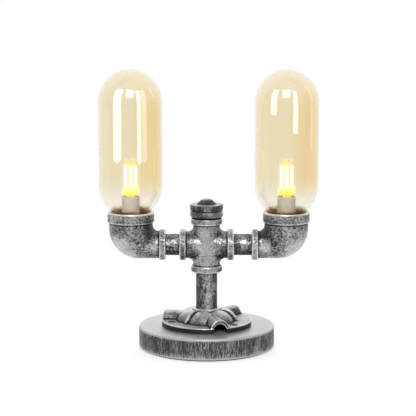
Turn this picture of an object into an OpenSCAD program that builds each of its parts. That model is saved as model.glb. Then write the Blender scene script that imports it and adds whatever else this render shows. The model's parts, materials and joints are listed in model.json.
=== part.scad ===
// Pipe-fitting table lamp: a round wooden base, a cast floor flange, a riser pipe, a four-way cross
// with a turning switch knob, and two reducing elbows that each hold a capsule glass shade over a bulb.
// Millimetres, +Z up, origin at the centre of the base's underside, seen from -Y in normal use.

/* [Base] */
// Diameter of the wooden base
base_d = 136; // [120:1:180]
// Thickness of the wooden base
base_h = 21.4; // [18:0.2:30]
// Width of the eased edges of the base
base_edge = 1; // [0.4:0.1:1.2]
// Wood left above the wiring channel
base_roof = 7; // [6.4:0.1:8]
// Thickness of the felt under the base
felt_t = 1.2; // [0.6:0.1:2]
// How far the felt stops short of the rim of the base
felt_inset = 4; // [2:0.5:10]

/* [Cord inlet] */
// Bore of the cord bush
cord_bore_d = 6.6; // [5:0.1:7]
// Outside diameter of the bush's threaded body
bush_d = 9.2; // [8.4:0.1:9.6]
// Diameter of the bush's collar
bush_collar_d = 11.8; // [11:0.1:12]
// Thickness of the bush's collar
bush_collar_t = 2; // [1.2:0.1:3]
// Wood between the collar's seat and the wiring channel
rim_wall = 9; // [6:0.5:14]
// Width across the flats of the bush's nut
bush_nut_af = 11; // [10.6:0.1:11]
// Thickness of the bush's nut
bush_nut_t = 3; // [2:0.1:4]

/* [Wiring] */
// Diameter of the inner leads
lead_d = 3.2; // [2:0.1:3.6]
// Distance of each lead from the riser's axis
lead_spread = 4.5; // [4:0.1:5]
// Bend radius of the leads in the cross and the base
lead_bend = 6; // [5:0.5:8]
// Bend radius of the leads in the elbows
lead_elbow_bend = 10; // [8:0.5:11]
// Width of the terminal block
block_w = 16; // [15:0.5:20]
// Length of the terminal block
block_l = 16; // [13:0.5:22]
// Height of the terminal block
block_h = 9; // [7:0.5:10]
// Distance of the terminal block from the riser's axis
block_y = 10; // [9:0.5:14]
// Depth of the terminal block's wire entries
block_entry = 4; // [2:0.1:5]
// Diameter of the terminal block's fixing screw
block_screw_d = 3; // [2:0.1:3.5]
// Depth of that screw in the wood
block_screw_bite = 4; // [3:0.5:5]

/* [Floor flange] */
// Diameter of the flange's plate
flange_d = 90; // [84:1:110]
// Thickness of the flange's plate
plate_t = 5.2; // [4:0.1:7]
// Height of the hub above the plate
hub_h = 12.5; // [10:0.1:16]
// Diameter of the collar round the riser
collar_d = 28.4; // [26:0.1:32]
// Radius of the six bulged petals
petal_r = 16.3; // [14:0.1:18]
// Distance of each petal's centre from the riser
petal_x = 15.5; // [13:0.1:16]
// How far the petals stop below the collar's top
petal_drop = 1.3; // [0.6:0.1:3]
// Thickness of the ribs between the petals
rib_w = 1.8; // [1.2:0.1:4]
// How far the ribs stand above the petals
rib_rise = 1; // [0.2:0.1:1.2]
// Width of the opening of each tunnel
tunnel_w = 13.8; // [10:0.1:16]
// Height of the opening of each tunnel
tunnel_h = 9.3; // [8.5:0.1:10.5]
// Thickness of the sides of each tunnel
tunnel_side = 2.4; // [1.6:0.1:3.5]
// Thickness of the roof of each tunnel
tunnel_roof = 4; // [2.4:0.1:5]
// Distance of each tunnel's mouth from the riser's axis
tunnel_reach = 43.5; // [40:0.5:56]
// Distance of each tunnel's inner end from the riser's axis
tunnel_end = 22; // [18:0.5:28]
// Direction of the first tunnel
tunnel_turn = -72; // [-90:1:-60]
// Diameter of the flange screws
screw_d = 4.2; // [3:0.1:5]
// Diameter of the screws' countersunk heads
screw_head_d = 8.4; // [7:0.1:9]
// Depth of the flange screws in the wood
screw_bite = 6; // [4:0.5:6]
// Radius of the circle that the screws stand on
screw_circle_r = 36.5; // [36:0.1:38]

/* [Pipe] */
// Outside diameter of the half-inch pipe
pipe_od = 21.3; // [20:0.1:22]
// Wall of the pipe
pipe_wall = 2.65; // [2:0.05:3]
// Length of pipe screwed into each fitting
thread_len = 12.5; // [10:0.5:13.5]
// Length of riser that shows
riser_show = 36.5; // [20:0.5:120]
// Length of the left nipple that shows
left_show = 13.5; // [6:0.5:60]
// Length of the right nipple that shows
right_show = 17.5; // [6:0.5:60]

/* [Fittings] */
// Distance from the cross's centre to each of its faces
cross_reach = 27.25; // [26:0.25:34]
// Wall of the cross round its sockets
fitting_wall = 2.7; // [1.8:0.1:3.5]
// Height of the bands above the fitting's body
band_rise = 2.1; // [1:0.1:4]
// Width of the bands
band_w = 6.6; // [4:0.1:8]
// Eased edge of the bands
band_edge = 0.8; // [0.2:0.1:1.2]
// Width of the shoulder that a pipe end bears on
seat_w = 1.2; // [0.8:0.1:1.8]
// Fillet radius between the cross's arms
corner_r = 4; // [2:0.1:5]
// Distance from the mouth's axis to the elbow's small face
elbow_run = 34.75; // [34:0.25:44]
// Distance from the small end's axis to the mouth's rim
elbow_rise = 33.4; // [33:0.2:44]
// Wall of the elbow round its small socket
elbow_wall = 3.1; // [2.2:0.1:4]
// Wall of the elbow round its mouth
mouth_wall = 1.8; // [1.2:0.1:3]
// Height of the mouth's band
mouth_band = 10.8; // [8:0.1:12]
// How far the mouth's band stands out
mouth_rise = 1.4; // [0.6:0.1:3]
// Outer bend radius of the elbow
bend_r = 30; // [28:0.2:33.6]
// Fillet at the inside of the elbow's bend
crotch_r = 6; // [1.5:0.1:8]
// Width of the ledge that the holder's plate sits on
ledge_w = 4.7; // [3:0.1:5]

/* [Shade] */
// Diameter of the glass
shade_d = 63; // [56:0.5:80]
// Height of the glass above the mouth's rim
shade_h = 141.3; // [110:0.1:200]
// Thickness of the glass
glass_t = 2.2; // [1.5:0.1:2.6]
// Outside diameter of the glass neck
neck_d = 37.8; // [37:0.1:42]
// Depth of the neck inside the mouth
neck_depth = 11; // [9:0.5:12]
// Gap between the mouth's rim and the bulge of the glass
shade_gap = 0.4; // [0.3:0.1:3]
// Thickness of the silicone seal
seal_t = 1; // [0.6:0.1:1.6]

/* [Lamp holder and bulb] */
// Diameter of the ceramic lamp holder
holder_d = 18; // [16:0.1:18.6]
// Eased edge of the lamp holder
holder_edge = 0.45; // [0.2:0.05:0.8]
// Height of the lamp holder above the mouth's rim
holder_rise = 15.2; // [8:0.1:16]
// Thickness of the holder's foot flange
holder_foot_t = 4; // [3:0.1:6]
// Thickness of the plate under the holder
holder_plate_t = 3; // [2:0.1:4]
// Diameter of the wire hole in that plate
wire_hole_d = 8; // [5:0.1:10]
// Diameter of the holder's fixing screws
holder_screw_d = 2; // [1.6:0.1:2.2]
// Diameter of those screws' heads
holder_screw_head_d = 3.4; // [2.6:0.1:3.6]
// Distance between the bulb's two pins
pin_pitch = 9; // [7:0.1:10]
// Diameter of the bulb's pins
pin_d = 1.2; // [0.8:0.1:1.4]
// Length of the bulb's pins
pin_len = 16; // [10:0.5:17]
// Length of the contact sleeves in the holder
sleeve_len = 8; // [4:0.5:9]
// Depth left below the pins' ends in the holder
pin_room = 1; // [0.5:0.1:1.2]
// Diameter of the bulb's envelope
bulb_d = 17.2; // [15:0.1:22]
// Height of the bulb's envelope
bulb_h = 33.4; // [33:0.1:60]
// Thickness of the bulb's glass
bulb_t = 0.8; // [0.5:0.1:1.2]
// Width of the bulb's neck, seen from the front
bulb_neck_w = 7.6; // [5:0.1:9]
// Height of the bulb's neck
bulb_neck_h = 2.4; // [1.5:0.1:5]
// Thickness of the bulb's base disc
bulb_disc_t = 0.8; // [0.5:0.1:2]
// Diameter of each of the four light strips
strip_d = 2.6; // [1.2:0.1:3]
// Length of each light strip
strip_len = 22.5; // [15:0.5:23]
// Height of the strips' lower ends above the bulb's base disc
strip_z = 5.4; // [3:0.1:5.6]
// Distance of the strips from the bulb's middle
strip_r = 5; // [4:0.1:5.2]
// Direction of the first strip, from the right arm's side
strip_turn = 8; // [-45:1:45]
// Thickness of the wire frame that carries the strips
frame_wire = 0.8; // [0.5:0.1:1]

/* [Knob and switch] */
// Diameter of the knob's two discs
knob_d = 32.8; // [30:0.1:40]
// Height of the knob's lower disc
knob_low_h = 5.3; // [4.4:0.1:7]
// Height of the knob's upper disc
knob_top_h = 5.9; // [4:0.1:7]
// Width of the groove between the discs
groove_w = 1.1; // [0.8:0.1:3]
// Depth of the groove between the discs
groove_t = 1.4; // [0.6:0.1:3]
// Eased edge of the knob's discs
knob_edge = 0.5; // [0.2:0.1:1]
// Running gap between the knob and the cross
knob_gap = 1.4; // [0.8:0.1:3]
// Wall of the knob round its hollow underside
knob_wall = 5.4; // [3:0.1:6]
// Diameter of the cap's sloping foot
cap_d = 20.4; // [18:0.1:24]
// Height of the cap's sloping foot
cap_step = 2.1; // [0.8:0.1:3]
// Diameter of the cap's dome
dome_d = 15.4; // [12:0.1:18]
// Height of the cap's dome
dome_h = 3.8; // [3:0.1:7]
// Diameter of the cap's stem
cap_stem_d = 5; // [3:0.1:6]
// Diameter of the knob's grub screw
grub_d = 2; // [1.5:0.1:2.5]
// Length of the knob's grub screw
grub_len = 6; // [4:0.5:8]
// Diameter of the switch's body
switch_d = 16; // [12:0.1:17]
// Height of the switch's body
switch_h = 9; // [6:0.1:9]
// Diameter of the switch's threaded neck
switch_neck_d = 8; // [7.6:0.1:8.6]
// Diameter of the switch's shaft
shaft_d = 6; // [4:0.1:6.2]
// Length of the shaft inside the knob
shaft_grip = 5.2; // [4:0.1:6]
// Thickness of the switch's washer
washer_t = 0.6; // [0.4:0.1:1]
// Diameter of the switch's washer
washer_d = 13; // [12:0.1:16]
// Width across the flats of the switch's nut
nut_af = 11; // [10:0.1:13]
// Thickness of the switch's nut
nut_t = 2; // [1.5:0.1:2.4]

/* [Clearances] */
// Radial gap of screwed and pushed-in pieces
fit_gap = 0.05; // [0.02:0.01:0.1]
// Gap between the glass neck and its seal
neck_gap = 0.2; // [0.1:0.05:0.4]
// Gap under a piece that lifts out
rest_gap = 0.15; // [0.1:0.05:0.4]
// Room round a piece that lies in a wider hollow
play = 0.5; // [0.3:0.1:1]

/* [Hidden] */
$fn = 64;
cut = 1;
left = -1;
right = 1;
tunnel_n = 3;
tunnel_step = 360 / tunnel_n;
petal_step = tunnel_step / 2;
strip_n = 4;
strip_step = 360 / strip_n;
slot_share = 1 / 6;
ring_sides = 32;
bend_steps = 14;
lead_sides = 8;
lead_steps = 5;
iron = "dimgray";
brass = "goldenrod";
steel = "silver";
ceramic = "gainsboro";

base_r = base_d / 2;
base_top = felt_t + base_h;
channel_h = base_h - base_roof;
channel_z = felt_t + channel_h;
channel_w = block_w + 2 * play;
flange_r = flange_d / 2;
plate_top = base_top + plate_t;
hub_top = plate_top + hub_h;
arm_z = hub_top + riser_show + cross_reach;
cross_top = arm_z + cross_reach;
rim_z = arm_z + elbow_rise;

pipe_r = pipe_od / 2;
pipe_bore_r = pipe_r - pipe_wall;
socket_r = pipe_r + fit_gap;
core_r = socket_r - seat_w;
body_r = socket_r + fitting_wall;
band_r = body_r + band_rise;
small_r = socket_r + elbow_wall;

cord_z = felt_t + channel_h / 2;
collar_seat_r = bush_collar_d / 2 + fit_gap;
collar_seat_y = sqrt(base_r * base_r - collar_seat_r * collar_seat_r) - bush_collar_t;
channel_y = collar_seat_y - rim_wall;
block_lead_z = channel_z - block_h / 2;

neck_r = neck_d / 2;
neck_in_r = neck_r - glass_t;
seal_in_r = neck_r + neck_gap;
seal_r = seal_in_r + seal_t;
seat_r = seal_r + fit_gap;
seat_depth = neck_depth + rest_gap + seal_t;
mouth_r = seat_r + mouth_wall;
holder_plate_z = rim_z - seat_depth - seal_t - holder_plate_t;
holder_z = holder_plate_z + holder_plate_t;
holder_top = rim_z + holder_rise;
holder_foot_r = neck_in_r - 2 * play - seal_t;
holder_screw_r = (holder_d / 2 + holder_foot_r) / 2;
chamber_r = neck_in_r - ledge_w;
shade_r = shade_d / 2;
shade_low = rim_z + shade_gap + sqrt(shade_r * shade_r - neck_r * neck_r);
shade_top = rim_z + shade_h;

sleeve_r = pin_d / 2 + 2 * fit_gap + bulb_t / 2;
bulb_z = holder_top + rest_gap;
bulb_disc_z = bulb_z + bulb_neck_h;
bulb_glass_z = bulb_disc_z + bulb_disc_t;
strip_low = bulb_glass_z + strip_z;
strip_top = strip_low + strip_len;

knob_z = cross_top + knob_gap;
knob_h = knob_low_h + groove_w + knob_top_h;
knob_r = knob_d / 2;
switch_neck_top = cross_top + washer_t + nut_t + play;
knob_web_z = max(switch_neck_top, knob_z) + play;
shaft_top = knob_web_z + shaft_grip;
plug_foot = cross_top - thread_len;

function arm_x(side) = cross_reach + (side == left ? left_show : right_show) + elbow_run;

// A disc with both edges eased, standing on z = 0
module eased_disc(r, h, edge) {
  rotate_extrude()
    polygon([[0, 0], [r - edge, 0], [r, edge], [r, h - edge], [r - edge, h], [0, h]]);
}

// Puts its children on an arm's mouth axis, with +X towards the riser
module at_arm(side) {
  translate([side * arm_x(side), 0, 0])
    if (side == left) children();
    else mirror([1, 0, 0]) children();
}

// Turns a shape that stands on +Z so that it points along +X
module along_x() {
  rotate([0, 90, 0]) children();
}

// Turns a shape that stands on +Z so that it points along +Y
module along_y() {
  rotate([-90, 0, 0]) children();
}

// Faces of a skin over rings of equal size, closed at both ends
function skin_faces(rings, sides) = concat(
  [[for (k = [0 : sides - 1]) k]],
  [for (i = [0 : rings - 2]) for (k = [0 : sides - 1])
    let (a = i * sides + k, b = i * sides + (k + 1) % sides) [a, a + sides, b]],
  [for (i = [0 : rings - 2]) for (k = [0 : sides - 1])
    let (a = i * sides + k, b = i * sides + (k + 1) % sides) [b, a + sides, b + sides]],
  [[for (k = [sides - 1 : -1 : 0]) (rings - 1) * sides + k]]
);

module felt_pad() {
  color("black")
    cylinder(r = base_r - felt_inset, h = felt_t);
}

module base_disc() {
  color("gray")
    difference() {
      translate([0, 0, felt_t])
        eased_disc(base_r, base_h, base_edge);
      translate([0, 0, felt_t - cut])
        cylinder(r = pipe_bore_r, h = base_h + 2 * cut);
      translate([-channel_w / 2, 0, felt_t - cut])
        cube([channel_w, channel_y, channel_h + cut]);
      translate([0, channel_y - cut, cord_z])
        along_y() cylinder(d = bush_d + 2 * fit_gap, h = rim_wall + 2 * cut);
      translate([0, collar_seat_y, cord_z])
        along_y() cylinder(r = collar_seat_r, h = base_r);
      at_flange_screws()
        translate([0, 0, base_top - screw_bite])
          cylinder(d = screw_d + 2 * fit_gap, h = screw_bite + cut);
      translate([0, block_y + block_l / 2, channel_z - cut])
        cylinder(d = block_screw_d + 2 * fit_gap, h = block_screw_bite + cut);
    }
}

module cord_bush() {
  bush_in = rim_wall + bush_nut_t + play;
  color("black")
    translate([0, collar_seat_y, cord_z])
      along_y() difference() {
        union() {
          cylinder(d = bush_collar_d, h = bush_collar_t);
          translate([0, 0, -bush_in])
            cylinder(d = bush_d, h = bush_in + cut);
        }
        translate([0, 0, -bush_in - cut])
          cylinder(d = cord_bore_d, h = bush_in + bush_collar_t + 2 * cut);
      }
}

module cord_bush_nut() {
  color("black")
    translate([0, channel_y - bush_nut_t, cord_z])
      along_y() difference() {
        cylinder(d = bush_nut_af / cos(30), h = bush_nut_t, $fn = 6);
        translate([0, 0, -cut])
          cylinder(d = bush_d + 2 * fit_gap, h = bush_nut_t + 2 * cut);
      }
}

module terminal_block() {
  entry_d = lead_d + 2 * fit_gap;
  color("white")
    difference() {
      translate([-block_w / 2, block_y, channel_z - block_h])
        cube([block_w, block_l, block_h]);
      for (x = [-lead_spread, 0, lead_spread])
        translate([x, block_y - cut, block_lead_z])
          along_y() cylinder(d = entry_d, h = block_entry + cut);
      for (x = [-lead_spread, lead_spread])
        translate([x, block_y + block_l - block_entry, block_lead_z])
          along_y() cylinder(d = entry_d, h = block_entry + cut);
      translate([0, block_y + block_l / 2, channel_z - block_h - cut])
        cylinder(d = block_screw_d + 2 * fit_gap, h = block_h + 2 * cut);
    }
}

module terminal_screw() {
  color(steel)
    translate([0, block_y + block_l / 2, channel_z - block_h])
      difference() {
        union() {
          cylinder(d = block_screw_d, h = block_h + block_screw_bite);
          translate([0, 0, -block_screw_d / 2])
            cylinder(d = 2 * block_screw_d, h = block_screw_d / 2);
        }
        screw_slot(2 * block_screw_d, block_screw_d / 4, -block_screw_d / 2);
      }
}

// A driver slot across a screw head of diameter d, centred on height z
module screw_slot(d, depth, z) {
  w = d * slot_share;
  translate([-d, -w / 2, z - depth])
    cube([2 * d, w, 2 * depth]);
}

// A tunnel's arched outline, of width w and height h
module arch(w, h) {
  translate([0, h - w / 2])
    circle(d = w);
  translate([-w / 2, 0])
    square([w, h - w / 2]);
}

// Runs an outline outwards from radius r0 to r1 in a given direction
module radial_run(turn, r0, r1) {
  rotate([0, 0, turn])
    translate([r0, 0, base_top])
      rotate([90, 0, 90])
        linear_extrude(r1 - r0) children();
}

module at_flange_screws() {
  for (k = [0 : tunnel_n - 1])
    rotate([0, 0, tunnel_turn + petal_step / 2 + tunnel_step * k])
      translate([screw_circle_r, 0, 0]) children();
}

// A rib between two petals, standing on the direction +X
module flange_rib() {
  translate([0, rib_w / 2, 0])
    rotate([90, 0, 0])
      linear_extrude(rib_w)
        intersection() {
          translate([petal_x, hub_top - petal_drop - petal_r])
            circle(r = petal_r + rib_rise);
          translate([0, base_top - cut])
            square([flange_r, hub_h + plate_t]);
        }
}

// The flange before boring, from a little below the wood up
module flange_body() {
  translate([0, 0, base_top - cut])
    cylinder(d = flange_d, h = plate_t + cut);
  translate([0, 0, base_top - cut])
    eased_disc(collar_d / 2, plate_t + hub_h + cut, band_edge);
  for (k = [0 : 2 * tunnel_n - 1])
    rotate([0, 0, tunnel_turn + petal_step / 2 + petal_step * k])
      translate([petal_x, 0, hub_top - petal_drop - petal_r])
        sphere(r = petal_r);
  for (k = [0 : tunnel_n - 1]) {
    radial_run(tunnel_turn + tunnel_step * k, collar_d / 2 - tunnel_side, tunnel_reach)
      translate([0, -cut])
        arch(tunnel_w + 2 * tunnel_side, tunnel_h + tunnel_roof + cut);
    rotate([0, 0, tunnel_turn + petal_step + tunnel_step * k]) flange_rib();
  }
}

module floor_flange() {
  head_h = (screw_head_d - screw_d) / 2;
  reach = max(tunnel_reach, flange_r) + cut;
  color(iron)
    difference() {
      intersection() {
        flange_body();
        translate([0, 0, base_top])
          cylinder(r = reach, h = plate_t + hub_h + cut);
      }
      for (k = [0 : tunnel_n - 1])
        radial_run(tunnel_turn + tunnel_step * k, tunnel_end, reach)
          translate([0, -cut])
            arch(tunnel_w, tunnel_h + cut);
      translate([0, 0, hub_top - thread_len])
        cylinder(r = socket_r, h = thread_len + cut);
      translate([0, 0, base_top - cut])
        cylinder(r = pipe_bore_r, h = plate_t + hub_h);
      at_flange_screws() {
        translate([0, 0, base_top - cut])
          cylinder(d = screw_d + 4 * fit_gap, h = plate_t + 2 * cut);
        translate([0, 0, plate_top - head_h])
          cylinder(d1 = screw_d + 4 * fit_gap, d2 = screw_head_d + 4 * fit_gap, h = head_h + fit_gap);
      }
    }
}

module flange_screws() {
  head_h = (screw_head_d - screw_d) / 2;
  color(steel)
    at_flange_screws()
      difference() {
        union() {
          translate([0, 0, base_top - screw_bite])
            cylinder(d = screw_d, h = screw_bite + plate_t);
          translate([0, 0, plate_top - head_h])
            cylinder(d1 = screw_d, d2 = screw_head_d, h = head_h);
        }
        screw_slot(screw_head_d, head_h / 2, plate_top);
      }
}

// A length of pipe that stands on z = 0
module pipe(length) {
  difference() {
    cylinder(r = pipe_r, h = length);
    translate([0, 0, -cut])
      cylinder(r = pipe_bore_r, h = length + 2 * cut);
  }
}

module riser_pipe() {
  color(iron)
    translate([0, 0, hub_top - thread_len])
      pipe(riser_show + 2 * thread_len);
}

// Concave fillet between two arms of the cross, standing in the quarter +X, +Z
module cross_corner() {
  root = body_r - fitting_wall;
  rotate([90, 0, 0])
    linear_extrude(body_r, center = true)
      difference() {
        translate([root, root])
          square(body_r + corner_r - root);
        translate([body_r + corner_r, body_r + corner_r])
          circle(r = corner_r);
      }
}

module pipe_cross() {
  color(iron)
    translate([0, 0, arm_z])
      difference() {
        union() {
          for (turn = [0, 90])
            rotate([0, turn, 0])
              cylinder(r = body_r, h = 2 * (cross_reach - band_edge), center = true);
          for (turn = [0 : 90 : 270])
            rotate([0, turn, 0]) {
              translate([0, 0, cross_reach - band_w])
                eased_disc(band_r, band_w, band_edge);
              cross_corner();
            }
        }
        for (turn = [0, 90])
          rotate([0, turn, 0])
            cylinder(r = core_r, h = 2 * cross_reach, center = true);
        for (turn = [0 : 90 : 270])
          rotate([0, turn, 0])
            translate([0, 0, cross_reach - thread_len])
              cylinder(r = socket_r, h = thread_len + cut);
      }
}

module nipple(side) {
  show = side == left ? left_show : right_show;
  color(iron)
    translate([side * (cross_reach - thread_len), 0, arm_z])
      rotate([0, side * 90, 0])
        pipe(show + 2 * thread_len);
}

// Distance from the elbow's inner corner to its outer side, in direction a
function elbow_reach(a) =
  let (
    corner = [mouth_r + crotch_r, small_r + crotch_r],
    centre = [bend_r - mouth_r, bend_r - small_r],
    u = [cos(a), sin(a)],
    m = corner - centre,
    b = m * u,
    wall_reach = (corner[0] + mouth_r) / max(-u[0], 0.001),
    floor_reach = (corner[1] + small_r) / max(-u[1], 0.001)
  )
  corner[1] + wall_reach * u[1] >= centre[1] ? wall_reach
    : corner[0] + floor_reach * u[0] >= centre[0] ? floor_reach
    : sqrt(b * b - m * m + bend_r * bend_r) - b;

// One round section of the elbow, in the plane of direction a and Y
function elbow_ring(x, z, a, low, high) =
  let (mid = (low + high) / 2, r = (high - low) / 2)
  [for (k = [0 : ring_sides - 1])
    let (t = 360 * k / ring_sides, d = mid + r * cos(t))
    [x + d * cos(a), r * sin(t), z + d * sin(a)]];

// The swept body of an elbow, from inside the mouth's band to inside the small band
module elbow_bend() {
  x = mouth_r + crotch_r;
  z = small_r + crotch_r;
  rings = concat(
    [elbow_ring(x, elbow_rise - mouth_band / 2, 180, crotch_r, crotch_r + 2 * mouth_r)],
    [for (k = [0 : bend_steps]) let (a = 180 + 90 * k / bend_steps)
      elbow_ring(x, z, a, crotch_r, elbow_reach(a))],
    [elbow_ring(elbow_run - band_w / 2, z, 270, crotch_r, crotch_r + 2 * small_r)]
  );
  polyhedron(
    points = [for (ring = rings) for (p = ring) p],
    faces = skin_faces(len(rings), ring_sides),
    convexity = 4
  );
}

module elbow(side) {
  chamber_floor = small_r - 2 * pipe_bore_r;
  chamber_z = chamber_floor + chamber_r;
  color(iron)
    at_arm(side)
      translate([0, 0, arm_z])
        difference() {
          union() {
            elbow_bend();
            translate([0, 0, elbow_rise - mouth_band])
              eased_disc(mouth_r + mouth_rise, mouth_band, band_edge);
            translate([elbow_run - band_w, 0, 0])
              along_x() eased_disc(band_r, band_w, band_edge);
          }
          translate([0, 0, elbow_rise - seat_depth])
            cylinder(r = seat_r, h = seat_depth + cut);
          translate([0, 0, holder_plate_z - arm_z])
            cylinder(r = neck_in_r + fit_gap, h = seat_depth);
          translate([0, 0, chamber_z])
            cylinder(r = chamber_r, h = seat_depth);
          translate([0, 0, chamber_z])
            sphere(r = chamber_r);
          along_x()
            cylinder(r = pipe_bore_r, h = elbow_run);
          translate([elbow_run - thread_len, 0, 0])
            along_x() cylinder(r = socket_r, h = thread_len + cut);
        }
}

module at_holder_screws() {
  for (k = [-1, 1])
    translate([k * holder_screw_r, 0, 0]) children();
}

module holder_plate(side) {
  color(steel)
    at_arm(side)
      translate([0, 0, holder_plate_z])
        difference() {
          cylinder(r = neck_in_r, h = holder_plate_t);
          translate([0, 0, -cut])
            cylinder(d = wire_hole_d, h = holder_plate_t + 2 * cut);
          at_holder_screws()
            translate([0, 0, -cut])
              cylinder(d = holder_screw_d + 2 * fit_gap, h = holder_plate_t + 2 * cut);
        }
}

module at_pins() {
  for (k = [-1, 1])
    translate([0, k * pin_pitch / 2, 0]) children();
}

module lampholder(side) {
  bore_r = sleeve_r + fit_gap;
  bore_h = pin_len + pin_room;
  color(ceramic)
    at_arm(side)
      difference() {
        union() {
          translate([0, 0, holder_z])
            eased_disc(holder_d / 2, holder_top - holder_z, holder_edge);
          translate([0, 0, holder_z])
            cylinder(r = holder_foot_r, h = holder_foot_t);
        }
        at_pins()
          translate([0, 0, bulb_z - bore_h])
            cylinder(r = bore_r, h = bore_h + cut);
        at_holder_screws()
          translate([0, 0, holder_z - cut])
            cylinder(d = holder_screw_d + 2 * fit_gap, h = holder_foot_t + 2 * cut);
      }
}

module contacts(side) {
  foot = bulb_z - pin_len - pin_room;
  color(brass)
    at_arm(side)
      at_pins()
        translate([0, 0, foot])
          difference() {
            cylinder(r = sleeve_r, h = sleeve_len);
            translate([0, 0, -cut])
              cylinder(r = pin_d / 2 + 2 * fit_gap, h = sleeve_len + 2 * cut);
          }
}

module holder_screws(side) {
  head_h = holder_screw_d / 2;
  color(steel)
    at_arm(side)
      at_holder_screws()
        difference() {
          union() {
            translate([0, 0, holder_plate_z])
              cylinder(d = holder_screw_d, h = holder_plate_t + holder_foot_t);
            translate([0, 0, holder_z + holder_foot_t])
              cylinder(d = holder_screw_head_d, h = head_h);
          }
          screw_slot(holder_screw_head_d, head_h / 2, holder_z + holder_foot_t + head_h);
        }
}

module shade_seal(side) {
  color("lightgray")
    at_arm(side)
      translate([0, 0, rim_z - seat_depth])
        difference() {
          cylinder(r = seal_r, h = seat_depth - seal_t);
          translate([0, 0, seal_t])
            cylinder(r = seal_in_r, h = seat_depth);
          translate([0, 0, -cut])
            cylinder(r = neck_in_r + fit_gap, h = seat_depth);
        }
}

// A closed capsule on a neck, turned from an outline of radius r and neck radius nr
module capsule(r, nr, foot, low, high) {
  rotate_extrude()
    intersection() {
      union() {
        translate([0, low]) circle(r = r);
        translate([0, high]) circle(r = r);
        translate([0, low]) square([r, high - low]);
        translate([0, foot]) square([nr, low - foot]);
      }
      translate([0, foot]) square([2 * r, high + r]);
    }
}

module shade(side) {
  high = shade_top - shade_r;
  foot = rim_z - neck_depth;
  color("gold", 0.35)
    at_arm(side)
      difference() {
        capsule(shade_r, neck_r, foot, shade_low, high);
        capsule(shade_r - glass_t, neck_in_r, foot - cut, shade_low, high);
      }
}

module bulb_base(side) {
  neck_l = pin_pitch + 2 * pin_d;
  color(ceramic)
    at_arm(side) {
      translate([0, 0, bulb_disc_z])
        cylinder(d = bulb_d, h = bulb_disc_t);
      translate([-bulb_neck_w / 2, -neck_l / 2, bulb_z])
        cube([bulb_neck_w, neck_l, bulb_neck_h]);
    }
}

module bulb_pins(side) {
  color(steel)
    at_arm(side)
      at_pins()
        translate([0, 0, bulb_z - pin_len])
          cylinder(d = pin_d, h = pin_len);
}

module bulb_glass(side) {
  r = bulb_d / 2;
  high = bulb_glass_z + bulb_h - r;
  color("white", 0.3)
    at_arm(side)
      difference() {
        capsule(r, r, bulb_glass_z, high - r, high);
        capsule(r - bulb_t, r - bulb_t, bulb_glass_z - cut, high - r, high);
      }
}

module at_strips() {
  for (k = [0 : strip_n - 1])
    rotate([0, 0, strip_turn + strip_step * k])
      translate([strip_r, 0, 0]) children();
}

module bulb_frame(side) {
  reach = strip_r + frame_wire;
  color(steel)
    at_arm(side) {
      translate([0, 0, bulb_glass_z])
        cylinder(d = 2 * frame_wire, h = strip_top - bulb_glass_z + 1.5 * frame_wire);
      for (z = [strip_low - frame_wire, strip_top])
        translate([0, 0, z])
          linear_extrude(frame_wire)
            for (k = [0 : strip_n / 2 - 1])
              rotate(strip_turn + strip_step * k)
                square([2 * reach, frame_wire], center = true);
    }
}

module light_strips(side) {
  color("yellow")
    at_arm(side)
      at_strips()
        translate([0, 0, strip_low])
          cylinder(d = strip_d, h = strip_len);
}

module switch_plug() {
  color(iron)
    translate([0, 0, plug_foot])
      difference() {
        cylinder(r = pipe_r, h = thread_len);
        translate([0, 0, -cut])
          cylinder(d = switch_neck_d + 2 * fit_gap, h = thread_len + 2 * cut);
      }
}

module switch_body() {
  shaft_floor = plug_foot - switch_h / 2;
  color("darkslategray")
    difference() {
      union() {
        translate([0, 0, plug_foot - switch_h])
          cylinder(d = switch_d, h = switch_h);
        translate([0, 0, plug_foot - cut])
          cylinder(d = switch_neck_d, h = switch_neck_top - plug_foot + cut);
      }
      translate([0, 0, shaft_floor])
        cylinder(d = shaft_d + 2 * fit_gap, h = switch_neck_top - shaft_floor + cut);
    }
}

module switch_washer() {
  color(steel)
    translate([0, 0, cross_top])
      difference() {
        cylinder(d = washer_d, h = washer_t);
        translate([0, 0, -cut])
          cylinder(d = switch_neck_d + 2 * fit_gap, h = washer_t + 2 * cut);
      }
}

module switch_nut() {
  color(brass)
    translate([0, 0, cross_top + washer_t])
      difference() {
        cylinder(d = nut_af / cos(30), h = nut_t, $fn = 6);
        translate([0, 0, -cut])
          cylinder(d = switch_neck_d + 2 * fit_gap, h = nut_t + 2 * cut);
      }
}

module switch_shaft() {
  foot = plug_foot - switch_h / 2;
  color(steel)
    translate([0, 0, foot])
      cylinder(d = shaft_d, h = shaft_top - foot);
}

module knob() {
  low = knob_low_h;
  high = low + groove_w;
  neck = knob_r - groove_t;
  edge = knob_edge;
  color(iron)
    difference() {
      translate([0, 0, knob_z])
        rotate_extrude()
          polygon([
            [0, 0], [knob_r - edge, 0], [knob_r, edge],
            [knob_r, low - edge], [knob_r - edge, low], [neck, low],
            [neck, high], [knob_r - edge, high], [knob_r, high + edge],
            [knob_r, knob_h - edge], [knob_r - edge, knob_h], [0, knob_h]
          ]);
      translate([0, 0, knob_z - cut])
        cylinder(r = knob_r - knob_wall, h = knob_web_z - knob_z + cut);
      translate([0, 0, knob_web_z - cut])
        cylinder(d = shaft_d + 2 * fit_gap, h = shaft_grip + cut);
      translate([0, 0, shaft_top - cut])
        cylinder(d = cap_stem_d + 2 * fit_gap, h = knob_h);
      translate([0, 0, knob_z + low + groove_w / 2])
        along_y() cylinder(d = grub_d + 2 * fit_gap, h = knob_r);
    }
}

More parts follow.
